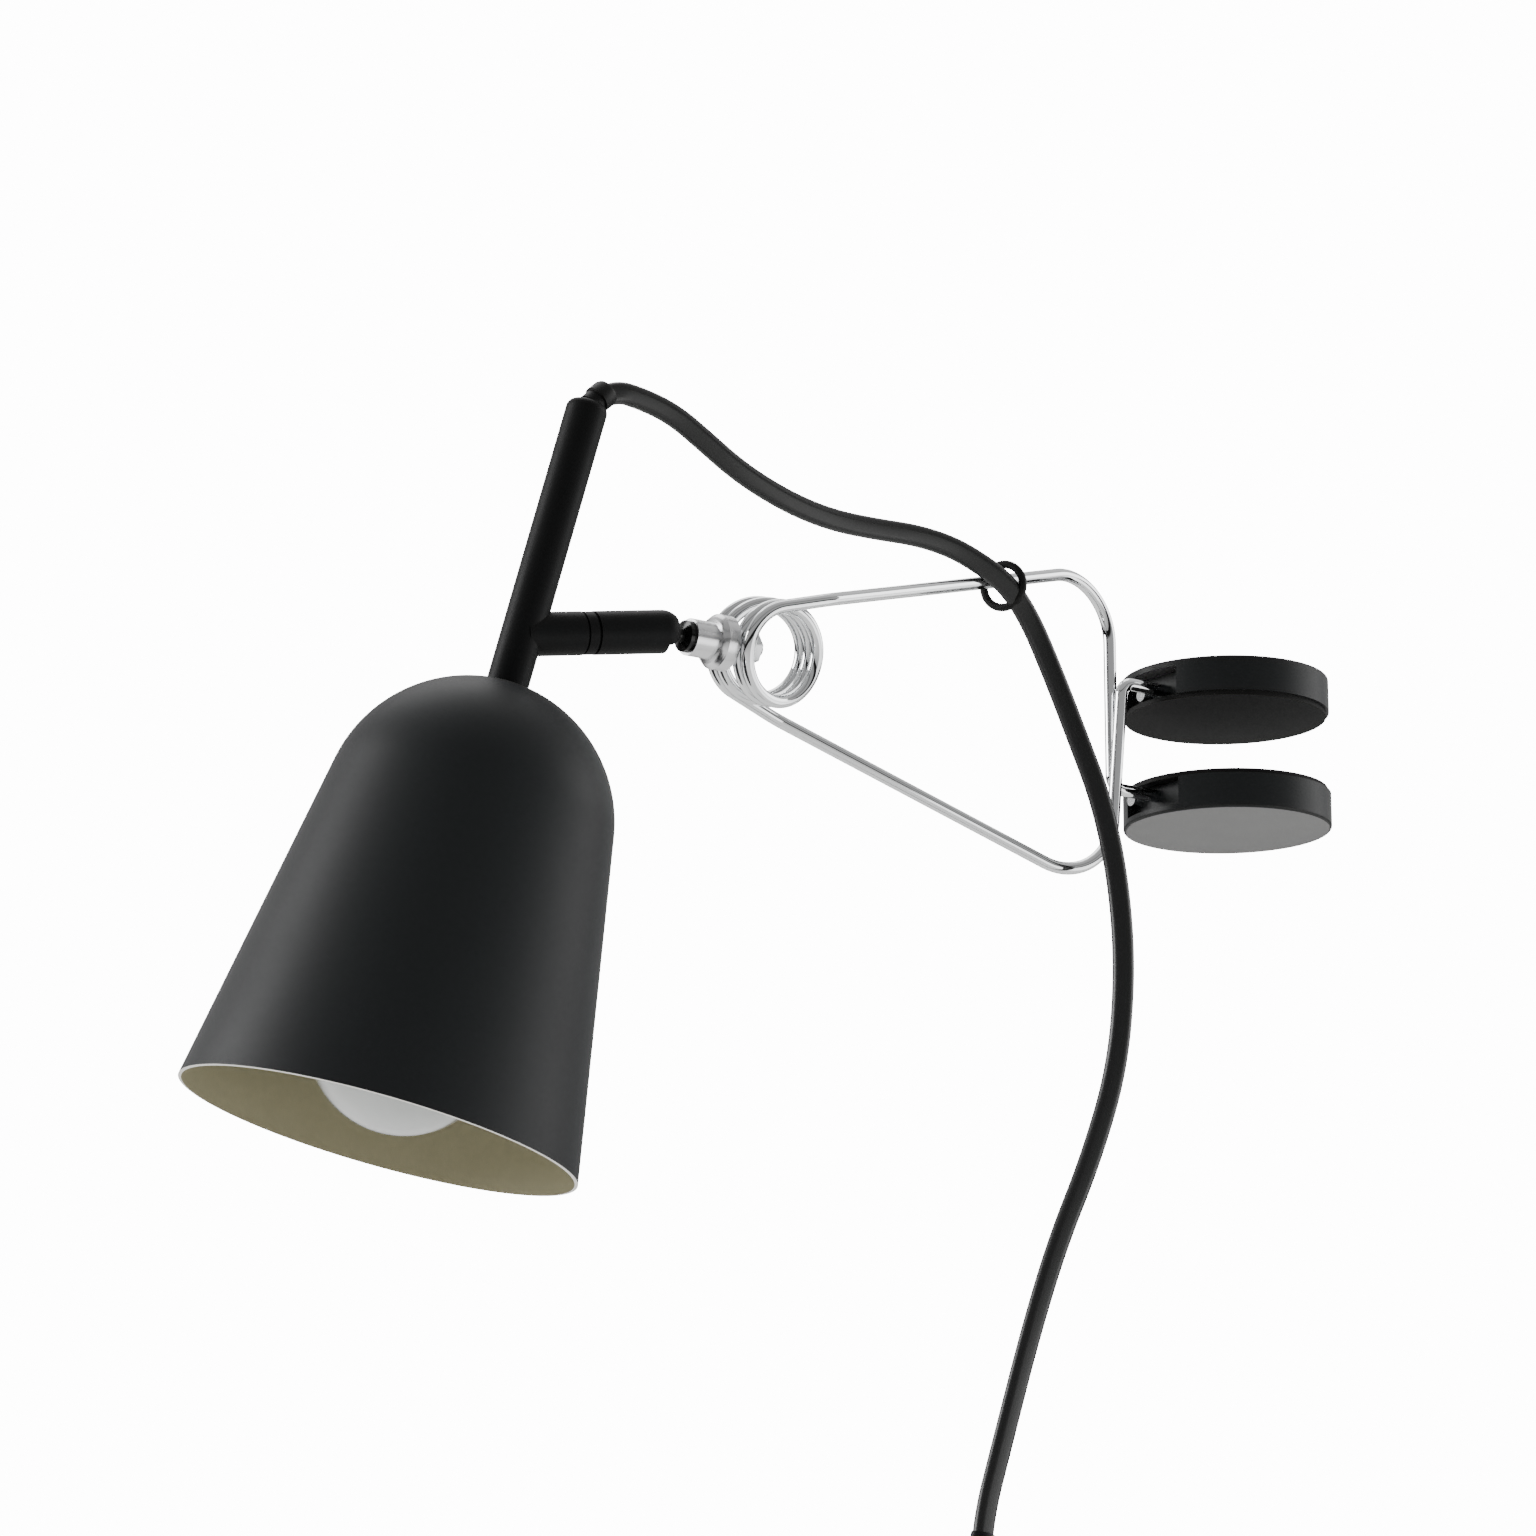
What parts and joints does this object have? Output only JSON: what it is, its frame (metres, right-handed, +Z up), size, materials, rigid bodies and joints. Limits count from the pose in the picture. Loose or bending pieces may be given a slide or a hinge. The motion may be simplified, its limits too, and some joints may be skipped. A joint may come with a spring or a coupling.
{
  "type": "clip on reading lamp",
  "caption": "Small reading lamp with a bell shade on a short ball-jointed arm, held to a shelf edge by a sprung wire clip with round pads.",
  "frame": {"origin": "centre of the lower pad's gripping face, where it meets the underside of the board", "axes": "+X into the shelf, +Y along the shelf's front edge, +Z up, out of the lower pad's gripping face"},
  "size_m": [0.309, 0.0956, 0.4461],
  "materials": {
    "wire_chrome": "polished chromium plating",
    "cup_chrome": "polished chromium plating on a turned face",
    "zinc_steel": "zinc plated",
    "stud_black": "glossy black",
    "tube_black": "satin black",
    "shade_paint": "matte charcoal outside, khaki inside, bare rim",
    "black_plastic": "fine moulded grain",
    "pad_cap": "fine moulded grain",
    "pad_rubber": "matte",
    "nylon": "satin",
    "holder_core": "heat proof, off white",
    "brass": "plain",
    "cap_metal": "rolled",
    "opal_glass": "opal",
    "cord_black": "smooth PVC",
    "tie": "smooth"
  },
  "bodies": {
    "clip": {"upper_leg_wire": "wire_chrome", "spring_coil": "wire_chrome", "lower_pad_grip": "pad_rubber", "lower_pad_body": "black_plastic", "lower_pad_cap": "pad_cap", "ball_stud": "stud_black", "clamp_cup": "cup_chrome", "clamp_saddle": "zinc_steel", "clamp_nut": "zinc_steel", "cord_ring": "cord_black", "cord_bridge_3": "cord_black", "cord_drop": "cord_black", "cord_link": "cord_black", "cord_coil": "cord_black", "cord_tie": "tie", "cord_tail": "cord_black", "switch_base": "black_plastic", "switch_cover": "black_plastic", "switch_screws": "zinc_steel", "plug_body": "black_plastic", "plug_relief": "black_plastic", "plug_pins": "cap_metal"},
    "upper_jaw": {"lower_leg_wire": "wire_chrome", "upper_pad_grip": "pad_rubber", "upper_pad_body": "black_plastic", "upper_pad_cap": "pad_cap"},
    "seat": {"ball_seat": "nylon"},
    "arm": {"arm_sleeve": "tube_black", "seat_plug": "nylon", "cord_bridge_2": "cord_black"},
    "head": {"arm_branch": "tube_black", "swivel_ring": "nylon", "swivel_screw": "zinc_steel", "swivel_washer": "zinc_steel", "stem_tube": "tube_black", "stem_plug": "black_plastic", "cord_sleeve": "cord_black", "inner_flex": "cord_black", "shade": "shade_paint", "shade_nipple": "zinc_steel", "shade_washer": "zinc_steel", "shade_nut": "zinc_steel", "lampholder_cap": "black_plastic", "lampholder_shell": "black_plastic", "lampholder_insert": "holder_core", "lampholder_thread": "brass", "lampholder_contact": "brass", "bulb_glass": "opal_glass", "bulb_cap": "cap_metal", "cord_bridge_1": "cord_black"},
    "rocker": {"switch_rocker": "black_plastic"}
  },
  "joints": [
    {"name": "jaw_open", "type": "hinge", "parent": "clip", "child": "upper_jaw", "pos_m": [-0.1429, 0, 0.0144], "axis": [0, -1, 0], "range_deg": [-6, 12], "stiffness_Nm_per_rad": 4, "springref_deg": -25.78, "deforming": ["spring_coil"]},
    {"name": "ball_pan", "type": "hinge", "parent": "clip", "child": "seat", "pos_m": [-0.1744, 0, 0.0144], "axis": [0, 0, 1], "range_deg": [-10, 25], "deforming": ["cord_bridge_1", "cord_bridge_2", "cord_bridge_3"]},
    {"name": "ball_tilt", "type": "hinge", "parent": "seat", "child": "arm", "pos_m": [-0.1744, 0, 0.0144], "axis": [0, 1, 0], "range_deg": [-25, 20], "deforming": ["cord_bridge_1", "cord_bridge_2", "cord_bridge_3"]},
    {"name": "head_swivel", "type": "hinge", "parent": "arm", "child": "head", "pos_m": [-0.1744, 0, 0.0144], "axis": [0.977, -0.161, 0.14], "range_deg": [-90, 90], "deforming": ["cord_bridge_1", "cord_bridge_2", "cord_bridge_3"]},
    {"name": "switch_rock", "type": "hinge", "parent": "clip", "child": "rocker", "pos_m": [-0.0935, -0.0189, -0.234], "axis": [1, 0, 0], "range_deg": [-14, 0]}
  ]
}
